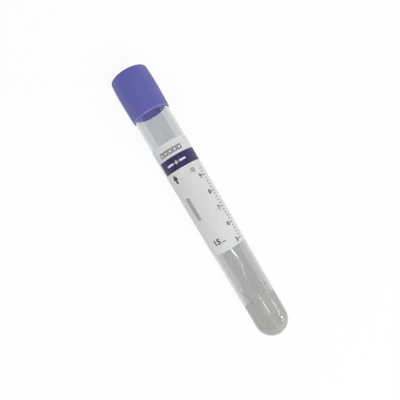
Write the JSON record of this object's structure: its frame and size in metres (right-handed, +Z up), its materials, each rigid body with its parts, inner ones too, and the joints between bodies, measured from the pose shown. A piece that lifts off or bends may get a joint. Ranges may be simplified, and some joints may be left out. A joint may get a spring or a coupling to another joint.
{
  "type": "blood collection tube",
  "caption": "Clear round-bottomed sample tube with a violet push-on cap and rubber stopper, a paper wrap label, separator gel and a little anticoagulant, lying on its side.",
  "frame": {"origin": "On the surface that the tube lies on, under the middle of its length.", "axes": "+X towards the round end, -X towards the cap, +Z up. The tube's own axis lies in the XZ plane and rises by 0.73 degrees towards the cap."},
  "size_m": [0.1292, 0.0176, 0.0177],
  "materials": {
    "clear_wall": "clear moulded plastic with faint flow lines",
    "stopper_rubber": "fine matt butyl rubber",
    "violet_cap": "satin moulded plastic",
    "label_paper": "smooth coated paper with a dark violet band",
    "separator_gel": "soft translucent gel",
    "clear_liquid": "clear watery liquid"
  },
  "bodies": {
    "tube_body": {"tube": "clear_wall", "label": "label_paper", "gel": "separator_gel", "anticoagulant": "clear_liquid"},
    "closure": {"cap": "violet_cap", "stopper": "stopper_rubber"}
  },
  "joints": [
    {"name": "closure_pull", "type": "slide", "parent": "tube_body", "child": "closure", "axis": [-0.9999, 0, 0.0128], "range_m": [0, 0.02]}
  ]
}
